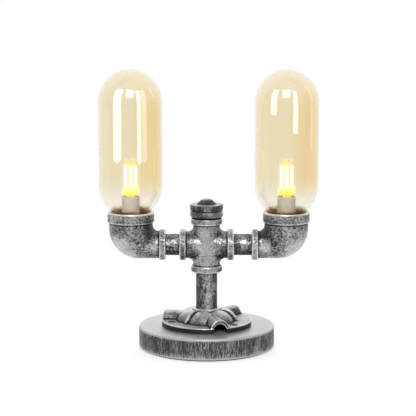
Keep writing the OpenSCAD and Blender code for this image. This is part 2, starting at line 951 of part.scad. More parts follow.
module knob_cap() {
  dome_r = dome_d / 2;
  ball_r = (dome_r * dome_r + dome_h * dome_h) / (2 * dome_h);
  stem = knob_z + knob_h - shaft_top;
  color(iron)
    translate([0, 0, knob_z + knob_h]) {
      cylinder(d1 = cap_d, d2 = dome_d, h = cap_step);
      intersection() {
        translate([0, 0, cap_step + dome_h - ball_r])
          sphere(r = ball_r);
        cylinder(r = dome_r, h = cap_step + dome_h);
      }
      translate([0, 0, -stem])
        cylinder(d = cap_stem_d, h = stem + cap_step / 2);
    }
}

module knob_grub_screw() {
  color(steel)
    translate([0, shaft_d / 2 + fit_gap, knob_z + knob_low_h + groove_w / 2])
      along_y() cylinder(d = grub_d, h = grub_len);
}

// Points and headings of a quarter bend round a corner, from heading u to heading v
function lead_corner(p, u, v, r) =
  [for (k = [0 : lead_steps]) let (a = 90 * k / lead_steps)
    [p - u * r * (1 - sin(a)) + v * r * (1 - cos(a)), u * cos(a) + v * sin(a)]];

// A ring of the lead round a point of its route; sideways runs lie in X, the last bend in Y
function lead_ring(p, t) =
  let (
    e1 = abs(t[1]) > 0.001 ? cross([1, 0, 0], t) : [0, 1, 0],
    e2 = abs(t[1]) > 0.001 ? [1, 0, 0] : cross(t, [0, 1, 0])
  )
  [for (k = [0 : lead_sides - 1]) let (a = 360 * k / lead_sides)
    p + (e1 * cos(a) + e2 * sin(a)) * lead_d / 2];

module lead(route) {
  polyhedron(
    points = [for (stop = route) for (p = lead_ring(stop[0], stop[1])) p],
    faces = skin_faces(len(route), lead_sides),
    convexity = 6
  );
}

// The last bend of a lead that comes down the riser at (x, y), and its end in the terminal block
function lead_tail(x, y) = concat(
  lead_corner([x, y, block_lead_z], [0, 0, -1], [0, 1, 0], lead_bend),
  [[[x, block_y + block_entry, block_lead_z], [0, 1, 0]]]
);

module arm_lead(side) {
  x = side * arm_x(side);
  in_x = side * lead_spread;
  color("black")
    lead(concat(
      [[[x, 0, holder_z], [0, 0, -1]]],
      lead_corner([x, 0, arm_z], [0, 0, -1], [-side, 0, 0], lead_elbow_bend),
      lead_corner([in_x, 0, arm_z], [-side, 0, 0], [0, 0, -1], lead_bend),
      lead_tail(in_x, 0)
    ));
}

module switch_lead() {
  color("black")
    lead(concat(
      [[[0, -lead_spread, plug_foot - switch_h], [0, 0, -1]]],
      lead_tail(0, -lead_spread)
    ));
}

felt_pad();
base_disc();
cord_bush();
cord_bush_nut();
terminal_block();
terminal_screw();
floor_flange();
flange_screws();
riser_pipe();
pipe_cross();
switch_plug();
switch_body();
switch_washer();
switch_nut();
switch_shaft();
knob();
knob_cap();
knob_grub_screw();
switch_lead();
nipple(left);  // left_nipple
nipple(right);  // right_nipple
elbow(left);  // left_elbow
elbow(right);  // right_elbow
holder_plate(left);  // left_holder_plate
holder_plate(right);  // right_holder_plate
lampholder(left);  // left_lampholder
lampholder(right);  // right_lampholder
contacts(left);  // left_contacts
contacts(right);  // right_contacts
holder_screws(left);  // left_holder_screws
holder_screws(right);  // right_holder_screws
shade_seal(left);  // left_shade_seal
shade_seal(right);  // right_shade_seal
shade(left);  // left_shade
shade(right);  // right_shade
bulb_base(left);  // left_bulb_base
bulb_base(right);  // right_bulb_base
bulb_pins(left);  // left_bulb_pins
bulb_pins(right);  // right_bulb_pins
bulb_glass(left);  // left_bulb_glass
bulb_glass(right);  // right_bulb_glass
bulb_frame(left);  // left_bulb_frame
bulb_frame(right);  // right_bulb_frame
light_strips(left);  // left_light_strips
light_strips(right);  // right_light_strips
arm_lead(left);  // left_lead
arm_lead(right);  // right_lead
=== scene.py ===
import json
import math

import bpy
import numpy as np
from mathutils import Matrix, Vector, noise

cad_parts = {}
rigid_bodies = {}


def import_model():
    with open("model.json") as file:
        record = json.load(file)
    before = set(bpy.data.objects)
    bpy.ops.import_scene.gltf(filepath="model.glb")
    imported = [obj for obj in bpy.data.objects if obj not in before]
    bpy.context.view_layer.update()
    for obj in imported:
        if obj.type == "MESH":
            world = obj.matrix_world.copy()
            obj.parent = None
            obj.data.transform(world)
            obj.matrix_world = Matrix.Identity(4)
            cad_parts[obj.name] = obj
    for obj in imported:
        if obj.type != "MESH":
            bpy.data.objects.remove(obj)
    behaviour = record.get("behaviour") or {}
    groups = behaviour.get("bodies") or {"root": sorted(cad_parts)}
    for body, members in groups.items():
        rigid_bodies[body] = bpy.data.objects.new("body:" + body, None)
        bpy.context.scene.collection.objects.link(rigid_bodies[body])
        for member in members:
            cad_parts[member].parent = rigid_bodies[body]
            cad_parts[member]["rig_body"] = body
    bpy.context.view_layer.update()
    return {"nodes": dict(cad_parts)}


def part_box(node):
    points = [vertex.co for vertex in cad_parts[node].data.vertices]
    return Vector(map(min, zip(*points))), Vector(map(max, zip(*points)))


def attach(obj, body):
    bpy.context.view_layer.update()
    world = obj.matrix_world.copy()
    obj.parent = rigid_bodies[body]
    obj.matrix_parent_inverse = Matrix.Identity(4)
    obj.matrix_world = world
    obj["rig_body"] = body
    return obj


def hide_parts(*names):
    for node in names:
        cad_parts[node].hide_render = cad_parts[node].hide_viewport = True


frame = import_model()

# Looks of a pipe lamp with two glass shades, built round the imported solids.
# Metres, Z up, front at -Y. Colours are written as sRGB and used as linear.

MM = 0.001
ARMS = ("left", "right")
# Radius below which a turned point lies on the axis
AXIS_R = 1e-9

# Camera, found by lining the render up with the photograph
IMAGE_PX = 416
SENSOR_MM = 36.0
FOCAL_PX = 1634.0
CAMERA_AT = (0.0014, -1.610, 0.386)
CAMERA_AIM = (0.0014, 0.0, 0.1410)

# Colours
BLACK_PAINT = (42, 42, 43)
SILVER = (208, 209, 210)
BARE_METAL = (240, 240, 240)
WOOD_BLACK = (46, 46, 47)
WOOD_SILVER = (198, 199, 200)
WOOD_TOP = (226, 226, 226)
AMBER = (245, 238, 218)
# Painted light in the glass: deeper amber to the right as painted shade, a lit crown, a pale painted
# reflection above the neck, and brown and gold at the neck as painted shade and refraction
AMBER_SHADED_RIGHT = (245, 231, 198)
AMBER_LIT_CROWN = (251, 243, 226)
AMBER_PALE_REFLECTION = (247, 244, 236)
NECK_SHADE_BROWN = (122, 84, 46)
NECK_REFRACTION_GOLD = (226, 190, 120)
BULB_TINT = (255, 249, 228)
# Painted glow in the bulb's glass from the strips' light
BULB_PAINTED_GLOW = (255, 240, 190)
BULB_FOOT_PAINTED_GLOW = (255, 200, 50)
FLOOR_GREY = (214, 214, 214)
WHITE = (1.0, 1.0, 1.0, 1.0)

# Plain finishes: colour, metallic, roughness, then the unevenness's size and depth in millimetres
# and the share by which it darkens the colour
PLAIN_FINISHES = {
    "satin_steel": ((168, 168, 170), 1.0, 0.34, 0.8, 0.02, 0.12),
    "black_steel": ((92, 92, 94), 0.8, 0.42, 0.8, 0.03, 0.12),
    "satin_brass": ((196, 164, 92), 1.0, 0.32, 0.8, 0.02, 0.12),
    "black_nylon": ((38, 38, 39), 0.0, 0.50, 0.7, 0.03, 0.12),
    "white_nylon": ((224, 221, 214), 0.0, 0.45, 0.9, 0.02, 0.06),
    "lead_sheath": ((46, 45, 44), 0.0, 0.48, 1.0, 0.03, 0.12),
    "ceramic": ((160, 160, 167), 0.0, 0.42, 1.2, 0.02, 0.06),
    "silicone": ((176, 166, 142), 0.0, 0.40, 1.5, 0.02, 0.08),
    "felt": ((50, 50, 53), 0.0, 0.95, 0.5, 0.12, 0.30),
}
PLAIN_DETAIL = 3.0
GLOSS_SPREAD = 0.15
GRAIN_RANGE = (0.2, 0.8)
# Lit finishes: colour, light, strength. The strips are the bulbs' light; the frame's and the press's
# glow is painted light from them
LIT_FINISHES = {
    "lit_strip": ((255, 238, 190), (255, 246, 222), 2.2),
    # Painted glow: the bulb's frame and press lit by the strips
    "lit_frame": ((240, 200, 110), (255, 205, 70), 0.4),
    "lit_press": ((240, 205, 120), (255, 205, 60), 0.35),
}
LIT_GRAIN = 1.5 * MM
LIT_SPREAD = 0.1
LIT_ROUGH = 0.5
# Solids that keep their own mesh: node, slot, finish
DRESSED_NODES = (
    ("terminal_screw", "steel", "satin_steel"),
    ("switch_washer", "steel", "satin_steel"),
    ("switch_shaft", "steel", "satin_steel"),
    ("knob_grub_screw", "steel", "satin_steel"),
    # The screw heads get black steel: painted shade standing in for their shaded countersinks
    ("flange_screws", "steel", "black_steel"),
    ("switch_plug", "antique_iron", "black_steel"),
    ("switch_nut", "brass", "satin_brass"),
    ("switch_body", "black_nylon", "black_nylon"),
    ("cord_bush", "black_nylon", "black_nylon"),
    ("cord_bush_nut", "black_nylon", "black_nylon"),
    ("terminal_block", "white_nylon", "white_nylon"),
    ("switch_lead", "lead_sheath", "lead_sheath"),
)
# The same for the solids that each arm has, without the arm's name
DRESSED_ARM_NODES = (
    ("lead", "lead_sheath", "lead_sheath"),
    ("contacts", "brass", "satin_brass"),
    ("holder_plate", "steel", "satin_steel"),
    ("holder_screws", "steel", "satin_steel"),
    ("lampholder", "ceramic", "ceramic"),
    ("shade_seal", "silicone", "silicone"),
    ("bulb_pins", "steel", "satin_steel"),
    # The bulb's press and frame carry painted glow from the strips
    ("bulb_base", "ceramic", "lit_press"),
    ("bulb_frame", "steel", "lit_frame"),
    ("light_strips", "light_strip", "lit_strip"),
)

# Values kept on the vertices: raised edges and hollows, pits, and silver rubbed on or painted over,
# with painted highlights and painted shade among them
EDGE = "edge"
PIT = "pit"
WEAR_AND_LIGHT = "worn"
# Steps that ease the edges, steps that find them, and the height of a full edge over its surroundings
EASE_STEPS = 2
EDGE_STEPS = 7
EDGE_SCALE = 0.09 * MM

# Cast pieces: node, finish, then face size, pit depth and pit size in millimetres
CAST_PIECES = (
    ("floor_flange", "flange_iron", 0.50, 0.16, 1.8),
    ("riser_pipe", "riser_iron", 0.45, 0.12, 1.6),
    ("pipe_cross", "cross_iron", 0.42, 0.20, 1.7),
    ("left_nipple", "pipe_iron", 0.45, 0.14, 1.6),
    ("right_nipple", "pipe_iron", 0.45, 0.14, 1.6),
    ("left_elbow", "elbow_iron", 0.42, 0.34, 1.7),
    ("right_elbow", "elbow_iron", 0.42, 0.34, 1.7),
    ("knob", "knob_iron", 0.24, 0.04, 1.2),
    ("knob_cap", "knob_iron", 0.22, 0.04, 1.2),
)
# Finishes: how much silver, how much more of it on top than below (partly dry-brushing, partly painted
# light above and painted shade below), how much more on level faces (partly painted light), how
# strongly the marks show, how much silver the edges gain and the hollows lose, how rough the silver
# is, then the marks as a turn in the front view and the length along X, Y and Z in mark sizes
IRON_FINISHES = {
    "elbow_iron": (0.53, 0.00, 0.0, 2.8, 1.3, 0.8, 0.36, ((40, (4, 1, 1)), (-40, (4, 1, 1)))),
    "cross_iron": (0.39, 0.18, 0.0, 2.3, 1.1, 0.8, 0.34, ((0, (1, 1, 1)),)),
    "pipe_iron": (0.27, 0.00, 0.0, 1.8, 0.5, 0.8, 0.27, ((0, (1.6, 1.6, 1.6)),)),
    "riser_iron": (0.30, 0.00, 0.0, 1.5, 0.5, 0.8, 0.36, ((0, (1, 1, 3)),)),
    "knob_iron": (0.37, 0.00, 0.5, 1.0, 0.2, 0.4, 0.36, ((0, (1, 1, 4)),)),
    "flange_iron": (0.40, 0.12, 0.48, 1.7, 1.6, 1.0, 0.36, ((0, (1, 1, 1)),)),
}
SPECK_SIZE = 1.0 * MM
SPECK_DEPTH = 0.22 * MM
PATCH_SIZE = 11 * MM
PATCH_GAIN = 0.9
PIT_LOSS = 0.35
WEAR_AND_LIGHT_GAIN = 0.45
NOISE_MEAN = 0.5
EDGE_FROM = 0.3
BARE_FROM = (0.9, 1.7)
LEVEL_FACE = (0.75, 0.98)
IRON_METALLIC = (0.1, 0.65)
PAINT_ROUGH = 0.50
PAINT_SPECULAR = 0.3

# Silver rubbed brighter by use, and painted highlights and painted light that add silver the same way:
# full up to the first distance, gone at the second
WORN_BEND = (18 * MM, 33 * MM)      # from the outside of an elbow's bend
# Painted highlight along the middle of an elbow's level run
RUN_PAINTED_HIGHLIGHT = (3 * MM, 9 * MM)         # from the middle of an elbow's level run
RUN_HIGHLIGHT_MIDDLE = (11 * MM, 17 * MM)     # out from the elbow's end face, and over its underside
WORN_LIP = (1.0 * MM, 2.2 * MM)     # down from the lip of an elbow's mouth
# Painted highlight on a nipple's middle
NIPPLE_PAINTED_HIGHLIGHT = (3 * MM, 9 * MM)      # from a nipple's middle, just over its axis
NIPPLE_HIGHLIGHT_RISE = 3 * MM
# Brighter upright middle of the cross: partly rubbed silver, partly painted light from the front
CROSS_WEAR_AND_LIGHT = (6 * MM, 15 * MM)      # from the cross's upright axis
# Painted highlight: a bright line down the riser's front and back
RISER_PAINTED_HIGHLIGHT = (1 * MM, 8 * MM)       # from a line down the front and back of the riser
RISER_HIGHLIGHT_LINE = (1.8 * MM, 10.2 * MM)  # to the right of the riser's axis, and before or behind it
WORN_BAND = (5.5 * MM, 6.5 * MM)    # from the end faces of the elbows and the cross
WORN_PETALS = (25 * MM, 31 * MM)    # from the riser's axis
# Painted light: the knob's lower disc brightened where the upper disc shades it
KNOB_PAINTED_LIGHT = (5.0 * MM, 6.0 * MM)    # up from the knob's underside
BAND_SHARE = 0.5
PETAL_SHARE = 1.15
KNOB_LIGHT_SHARE = 0.45
# Painted shade in the inner corner of an elbow's bend: less silver round a point out from its end face
# and over its underside
CROOK_PAINTED_SHADE = (7 * MM, 20 * MM)
CROOK_SHADE_AT = (12 * MM, 31 * MM)
CROOK_SHADE_SHARE = 0.8
# Solid black: up from the underside of the flange, black paint with a painted contact shadow on its
# plate's edge, and down from the cross's top face, painted shade under the knob
PLATE_EDGE_BLACK_AND_SHADE = (3.8 * MM, 4.9 * MM)
CROSS_TOP_SHADE = (0.4 * MM, 1.0 * MM)
BLACK_AND_SHADE_SHARE = 4.0
# Where the arms of the cross run into each other: half width of the zone, and how far it is eased
CROSS_BLEND = 17.5 * MM
BLEND_STEPS = 60

# Wooden base: its mesh, with grooves down the sides
BASE_FACE = 0.75 * MM
BASE_STREAK = 0.20 * MM
BASE_STREAK_WIDTH = 1.2 * MM
BASE_STREAK_STRETCH = (1.0, 1.0, 9.0)
# Its paint: streaks, patches and specks of silver, more at the rim and the foot and less in grooves
PAINT_STREAK = 0.7 * MM
PAINT_STREAK_DEPTH = 0.15 * MM
PAINT_PATCH = 13 * MM
PAINT_PATCH_STRETCH = (1.0, 1.0, 3.0)
PAINT_SPECK = 1.1 * MM
PAINT_DETAIL = 3.0
BASE_RIM = (0.35, 0.95)
BASE_FOOT = (1.5 * MM, 9.0 * MM)
BASE_COVER = -1.83
RIM_GAIN = 1.1
FOOT_GAIN = 0.40
GROOVE_LOSS = 0.25
PAINT_PATCH_GAIN = 0.9
PAINT_STREAK_GAIN = 2.2
PAINT_SPECK_GAIN = 1.3
BASE_TOP_FACE = (0.75, 0.97)
BASE_TOP_LEVELS = (-0.23, 0.97)
BASE_METALLIC = (0.05, 0.35)
BASE_TOP_METALLIC = 0.7
BASE_ROUGH = (0.55, 0.45)
BASE_TOP_GLOSS = 0.20

# Felt disc under the base
FELT_RINGS = 40
FELT_SEGMENTS = 180
FELT_FUZZ = 0.05 * MM
FELT_FUZZ_SIZE = 1.2 * MM

# Glass shades: shape, then the heights and the share of the radius at which the colour changes:
# painted shade at the neck, a painted pale reflection above it, a painted lighter crown, and painted
# shade to the right
SHADE_WALL = 1.5 * MM
SHADE_NECK_R = 18.9 * MM
SHADE_SHOULDER = 137.85 * MM
SHADE_FOOT_EASE = 0.4 * MM
SHADE_SEGMENTS = 160
SHADE_NECK_STEPS = 12
SHADE_ARC_STEPS = 48
SHADE_TUBE_STEPS = 24
SHADE_EASE = 3
GLASS_NECK_SHADE = (138.2 * MM, 141.0 * MM)
GLASS_PALE_REFLECTION = (145.0 * MM, 172.0 * MM)
GLASS_LIT_CROWN = (235.0 * MM, 272.0 * MM)
GLASS_SHADED_RIGHT = (-0.1, 0.8)
# Its finish: slow ripples in the surface, and brown and gold streaks round the neck, painted shade and
# refraction of the dark mouth below
GLASS_ROUGH = 0.015
GLASS_IOR = 1.46
RIPPLE_SIZE = 14 * MM
RIPPLE_STRETCH = (1.0, 1.0, 4.0)
RIPPLE_DEPTH = 0.015 * MM
NECK_REFRACTION_STREAK = 2.2 * MM
NECK_REFRACTION_STRETCH = (4.0, 4.0, 0.7)
NECK_REFRACTION_GOLD_FROM = (0.42, 0.60)

# Bulb glass: gloss, painted glow of the strips' light at the foot and above it, and the change below
# and above the strips' foot
BULB_ROUGH = 0.02
BULB_IOR = 1.1
BULB_PAINTED_GLOW_STRENGTHS = (0.32, 0.06)
BULB_PAINTED_GLOW_RUN = (-2 * MM, 3 * MM)

# Studio: upright light panels that one shade shows, as
# (arm, name, azimuth, distance, width, foot, top, radiance)
PANELS = (
    ("left", "left_panel", -47.5, 1.30, 0.68, 0.040, 1.50, 12.0),
    ("left", "right_panel", 32.0, 1.40, 0.38, 0.013, 1.50, 12.0),
    ("left", "dim_panel", 53.0, 1.40, 0.46, 0.013, 1.50, 4.5),
    ("left", "side_panel", 97.0, 1.40, 0.30, 0.050, 1.50, 1.4),
    ("right", "left_panel", -49.0, 1.30, 0.56, 0.110, 1.50, 10.0),
    ("right", "right_panel", 31.0, 1.40, 0.40, 0.078, 1.50, 12.0),
    ("right", "side_panel", 97.0, 1.40, 0.30, 0.050, 1.50, 1.4),
)
# Key light above the camera: azimuth, elevation, distance, width, height, radiance
KEY = (-2.0, 36.0, 1.50, 0.66, 0.76, 9.8)
# Top light, above and behind: how far back, height, width, radiance
TOP_LIGHT = (0.55, 1.55, 1.00, 3.4)
AIM_POINT = Vector((0.0, 0.0, 0.17))
# World: its level in front and behind, and the directions along Y at which it turns to the level
# behind and, in the gloss of metal, to plain white
FRONT_LEVEL = 0.08
BACK_LEVEL = 0.75
BACK_FROM = (0.45, 0.95)
WHITE_FROM = (-0.15, 0.60)
# Floor: where it fades to plain white, where gloss sees it as white, and how much it is lifted
FLOOR_RADIUS = 3.0
FLOOR_SEGMENTS = 96
FLOOR_ROUGH = 0.8
FLOOR_FADE = (0.085, 0.22)
FLOOR_FRONT = (-0.60, -0.10)
FLOOR_LIFT = 0.52


def rgb(colour):
    """Linear colour with full alpha of an sRGB colour in 0 to 255."""
    parts = [part / 255 for part in colour]
    curve = [p / 12.92 if p <= 0.04045 else ((p + 0.055) / 1.055) ** 2.4 for p in parts]
    return (*curve, 1.0)


def put(tree, socket, value):
    """Links a socket to another's output, or sets its plain value."""
    if isinstance(value, bpy.types.NodeSocket):
        tree.links.new(value, socket)
    else:
        socket.default_value = value


def add(tree, kind, inputs=(), **settings):
    """New node; inputs maps an input's name or number to a value or to a socket."""
    made = tree.nodes.new(kind)
    for key, value in settings.items():
        setattr(made, key, value)
    for key, value in dict(inputs).items():
        put(tree, made.inputs[key], value)
    return made


def calc(tree, operation, first, second=0.0):
    """Result of an operation on two values or sockets."""
    return add(tree, "ShaderNodeMath", {0: first, 1: second}, operation=operation).outputs[0]


def weighted(tree, total, *terms):
    """A starting total plus the sum of (socket, weight) pairs."""
    for socket, weight in terms:
        total = calc(tree, "ADD", calc(tree, "MULTIPLY", socket, weight), total)
    return total


def grain(tree, size, stretch=(1.0, 1.0, 1.0), detail=2.0, turn=0.0):
    """Noise from 0 to 1 with features of about that size, turned about Y and drawn out by stretch."""
    place = add(tree, "ShaderNodeTexCoord").outputs["Object"]
    inputs = {"Vector": place, "Scale": [size * s for s in stretch],
              "Rotation": (0.0, math.radians(turn), 0.0)}
    mapped = add(tree, "ShaderNodeMapping", inputs, vector_type="TEXTURE").outputs[0]
    texture = add(tree, "ShaderNodeTexNoise", {"Vector": mapped, "Scale": 1.0, "Detail": detail})
    return texture.outputs["Fac"]


def between(tree, value, low, high, start=0.0, end=1.0):
    """Smooth step of a value from start at low to end at high."""
    inputs = {"Value": value, "From Min": low, "From Max": high, "To Min": start, "To Max": end}
    return add(tree, "ShaderNodeMapRange", inputs, interpolation_type="SMOOTHSTEP").outputs["Result"]


def mixed(tree, share, first, second):
    """Colour from first at share 0 to second at share 1."""
    made = add(tree, "ShaderNodeMix", {0: share, 6: first, 7: second}, data_type="RGBA")
    return made.outputs[2]


def bumped(tree, height, distance):
    """Normal with a height pattern of that depth."""
    return add(tree, "ShaderNodeBump", {"Height": height, "Distance": distance}).outputs[0]


def normal_part(tree, axis):
    """One part of the surface's normal in the shared frame."""
    normal = add(tree, "ShaderNodeNewGeometry").outputs["Normal"]
    return add(tree, "ShaderNodeSeparateXYZ", {0: normal}).outputs[axis]


def place_parts(tree):
    """The place on the object, as its X, Y and Z outputs."""
    place = add(tree, "ShaderNodeTexCoord").outputs["Object"]
    return add(tree, "ShaderNodeSeparateXYZ", {0: place}).outputs


def blank(name):
    """New material, its node tree and its surface shader."""
    material = bpy.data.materials.new(name)
    material.use_nodes = True
    tree = material.node_tree
    return material, tree, tree.nodes["Principled BSDF"]


def set_surface(tree, surface, **sockets):
    """Sets the surface shader's sockets; an underscore in a name stands for a space."""
    for key, value in sockets.items():
        put(tree, surface.inputs[key.replace("_", " ")], value)


def show(tree, shader):
    """Makes a shader the one that the material shows."""
    put(tree, tree.nodes["Material Output"].inputs["Surface"], shader.outputs[0])


def vertex_value(tree, name):
    """A value kept on the mesh's vertices."""
    return add(tree, "ShaderNodeAttribute", attribute_name=name).outputs["Fac"]


def brush_marks(tree, marks):
    """Specks drawn out along the direction of each of the marks."""
    specks = 0.0
    for turn, stretch in marks:
        specks = calc(tree, "MAXIMUM", grain(tree, SPECK_SIZE, stretch, turn=turn), specks)
    return specks


def dry_brushed(name, cover, lift, top, contrast, gain, loss, rough, marks):
    """Black paint, silver brushed over it, and bare metal on the sharpest edges; dark hollows; painted
    light on upper and level faces, painted shade below, and the painted highlights and shade kept on
    the vertices.
    """
    material, tree, surface = blank(name)
    patches, specks = grain(tree, PATCH_SIZE, detail=1.0), brush_marks(tree, marks)
    edge, rise = vertex_value(tree, EDGE), normal_part(tree, "Z")
    proud, hollow = between(tree, edge, EDGE_FROM, 1.0), calc(tree, "MINIMUM", edge)
    # Silver level: paint and wear, plus painted light and shade from the faces' tilt and the kept
    # vertex value
    level = weighted(tree, cover - NOISE_MEAN * (PATCH_GAIN + contrast),
                     (proud, gain), (hollow, loss), (vertex_value(tree, PIT), -PIT_LOSS),
                     (patches, PATCH_GAIN), (specks, contrast), (rise, lift),
                     (between(tree, rise, *LEVEL_FACE), top), (vertex_value(tree, WEAR_AND_LIGHT), WEAR_AND_LIGHT_GAIN))
    silver = between(tree, level, 0.0, 1.0)
    brushed = mixed(tree, silver, rgb(BLACK_PAINT), rgb(SILVER))
    set_surface(tree, surface,
                Base_Color=mixed(tree, between(tree, level, *BARE_FROM), brushed, rgb(BARE_METAL)),
                Specular_IOR_Level=PAINT_SPECULAR,
                Metallic=between(tree, silver, 0.0, 1.0, *IRON_METALLIC),
                Roughness=between(tree, silver, 0.0, 1.0, PAINT_ROUGH, rough),
                Normal=bumped(tree, specks, SPECK_DEPTH))
    return material


def streaked_wood(name):
    """Black paint with silver dragged down the sides, worn at the foot, and a paler brushed top."""
    material, tree, surface = blank(name)
    streaks = grain(tree, PAINT_STREAK, BASE_STREAK_STRETCH, PAINT_DETAIL)
    patches = grain(tree, PAINT_PATCH, PAINT_PATCH_STRETCH, 1.0)
    specks = grain(tree, PAINT_SPECK, detail=PAINT_DETAIL)
    foot = between(tree, place_parts(tree)["Z"], *BASE_FOOT, 1.0, 0.0)
    rim = between(tree, vertex_value(tree, EDGE), *BASE_RIM)
    level = weighted(tree, BASE_COVER,
                     (rim, RIM_GAIN), (vertex_value(tree, PIT), -GROOVE_LOSS),
                     (patches, PAINT_PATCH_GAIN), (streaks, PAINT_STREAK_GAIN),
                     (specks, PAINT_SPECK_GAIN), (foot, FOOT_GAIN))
    silver = between(tree, level, 0.0, 1.0)
    up = between(tree, normal_part(tree, "Z"), *BASE_TOP_FACE)
    sides = mixed(tree, silver, rgb(WOOD_BLACK), rgb(WOOD_SILVER))
    faces = mixed(tree, between(tree, level, *BASE_TOP_LEVELS), rgb(WOOD_SILVER), rgb(WOOD_TOP))
    set_surface(tree, surface,
                Base_Color=mixed(tree, up, sides, faces),
                Metallic=calc(tree, "MAXIMUM", between(tree, silver, 0.0, 1.0, *BASE_METALLIC),
                              calc(tree, "MULTIPLY", up, BASE_TOP_METALLIC)),
                Roughness=calc(tree, "SUBTRACT", between(tree, silver, 0.0, 1.0, *BASE_ROUGH),
                               calc(tree, "MULTIPLY", up, BASE_TOP_GLOSS)),
                Normal=bumped(tree, streaks, PAINT_STREAK_DEPTH))
    return material


def plain(name, colour, metallic, roughness, size, depth, contrast):
    """One colour with a slight natural unevenness in tone, gloss and surface."""
    material, tree, surface = blank(name)
    pattern = grain(tree, size * MM, detail=PLAIN_DETAIL)
    full = rgb(colour)
    darker = tuple(part * (1 - contrast) for part in full[:3]) + (1.0,)
    gloss, matt = roughness * (1 - GLOSS_SPREAD), min(1.0, roughness * (1 + GLOSS_SPREAD))
    set_surface(tree, surface,
                Base_Color=mixed(tree, pattern, darker, full),
                Metallic=metallic,
                Roughness=between(tree, pattern, *GRAIN_RANGE, gloss, matt),
                Normal=bumped(tree, pattern, depth * MM))
    return material


def lit(name, colour, light, strength):
    """A lit surface, slightly uneven along its length."""
    material, tree, surface = blank(name)
    pattern = grain(tree, LIT_GRAIN, detail=1.0)
    dim, full = strength * (1 - LIT_SPREAD), strength * (1 + LIT_SPREAD)
    set_surface(tree, surface,
                Base_Color=rgb(colour), Roughness=LIT_ROUGH, Emission_Color=rgb(light),
                Emission_Strength=between(tree, pattern, *GRAIN_RANGE, dim, full))
    return material


def through_glass(tree, surface, colour):
    """Lets lamps shine through a glass surface, tinted, instead of casting its full shadow."""
    clear = add(tree, "ShaderNodeBsdfTransparent", {"Color": colour}).outputs[0]
    shadow = add(tree, "ShaderNodeLightPath").outputs["Is Shadow Ray"]
    show(tree, add(tree, "ShaderNodeMixShader", {0: shadow, 1: surface.outputs[0], 2: clear}))


def amber_glass(name, axis_x, radius):
    """Clear amber glass with painted light: painted shade at the neck, a painted pale reflection above
    it, a painted lighter crown, and painted shade deeper to the right.
    """
    material, tree, surface = blank(name)
    parts = place_parts(tree)
    height = parts["Z"]
    # Painted shade: deeper amber to the right
    right = between(tree, parts["X"], *(axis_x + share * radius for share in GLASS_SHADED_RIGHT))
    body = mixed(tree, right, rgb(AMBER), rgb(AMBER_SHADED_RIGHT))
    # Painted light: a paler crown
    upper = mixed(tree, between(tree, height, *GLASS_LIT_CROWN), body, rgb(AMBER_LIT_CROWN))
    # Painted reflection: pale glass above the neck
    lower = mixed(tree, between(tree, height, *GLASS_PALE_REFLECTION), rgb(AMBER_PALE_REFLECTION), upper)
    streaks = grain(tree, NECK_REFRACTION_STREAK, NECK_REFRACTION_STRETCH)
    # Painted shade and refraction: brown and gold streaks at the neck
    neck = mixed(tree, between(tree, streaks, *NECK_REFRACTION_GOLD_FROM), rgb(NECK_SHADE_BROWN), rgb(NECK_REFRACTION_GOLD))
    ripple = grain(tree, RIPPLE_SIZE, RIPPLE_STRETCH, 1.0)
    set_surface(tree, surface,
                Base_Color=mixed(tree, between(tree, height, *GLASS_NECK_SHADE), neck, lower),
                Roughness=GLASS_ROUGH, IOR=GLASS_IOR, Transmission_Weight=1.0,
                Normal=bumped(tree, ripple, RIPPLE_DEPTH))
    through_glass(tree, surface, rgb(AMBER))
    return material


def bulb_glass(name, low, high):
    """Clear thin bulb glass with a painted yellow glow at its foot and a paler one above, from low to
    high, from the strips' light.
    """
    material, tree, surface = blank(name)
    above = between(tree, place_parts(tree)["Z"], low, high)
    set_surface(tree, surface,
                Base_Color=rgb(BULB_TINT), Roughness=BULB_ROUGH, IOR=BULB_IOR, Transmission_Weight=1.0,
                Emission_Color=mixed(tree, above, rgb(BULB_FOOT_PAINTED_GLOW), rgb(BULB_PAINTED_GLOW)),
                Emission_Strength=between(tree, above, 0.0, 1.0, *BULB_PAINTED_GLOW_STRENGTHS))
    through_glass(tree, surface, rgb(BULB_TINT))
    return material


def neighbour_mean(values, edges):
    """Mean of each vertex's neighbours, for an array with one row per vertex."""
    count = len(values)
    first, second = edges.T
    degree = np.bincount(edges.ravel(), minlength=count)
    sums = [np.bincount(first, column[second], count) + np.bincount(second, column[first], count)
            for column in values.T]
    return np.stack(sums, axis=1) / np.maximum(degree, 1)[:, None]


def relaxed(points, edges, steps):
    """Points after some steps halfway towards their neighbours, which rounds edges."""
    for _ in range(steps):
        points = 0.5 * points + 0.5 * neighbour_mean(points, edges)
    return points


def blended(points, edges, reach):
    """Points eased further within reach of their middle, seen from the front."""
    middle = (points.min(axis=0) + points.max(axis=0)) / 2
    near = np.all(np.abs(points - middle)[:, (0, 2)] < reach, axis=1)
    for _ in range(BLEND_STEPS):
        points = np.where(near[:, None], relaxed(points, edges, 1), points)
    return points


def read_points(mesh):
    """A mesh's vertices as an array with one row each."""
    points = np.zeros(len(mesh.vertices) * 3)
    mesh.vertices.foreach_get("co", points)
    return points.reshape(-1, 3)


def read_edges(mesh):
    """A mesh's edges as an array of vertex pairs."""
    edges = np.zeros(len(mesh.edges) * 2, dtype=np.int64)
    mesh.edges.foreach_get("vertices", edges)
    return edges.reshape(-1, 2)


def write_points(mesh, points):
    """Puts the points back and returns the vertex normals."""
    mesh.vertices.foreach_set("co", points.astype(np.float32).ravel())
    mesh.update()
    normals = np.zeros(len(mesh.vertices) * 3)
    mesh.vertex_normals.foreach_get("vector", normals)
    return normals.reshape(-1, 3)


def noise_at(points, size, stretch=(1.0, 1.0, 1.0)):
    """Noise from about -1 to 1 at each point."""
    scaled = points / (size * np.array(stretch))
    return np.array([noise.noise(Vector(p)) for p in scaled])


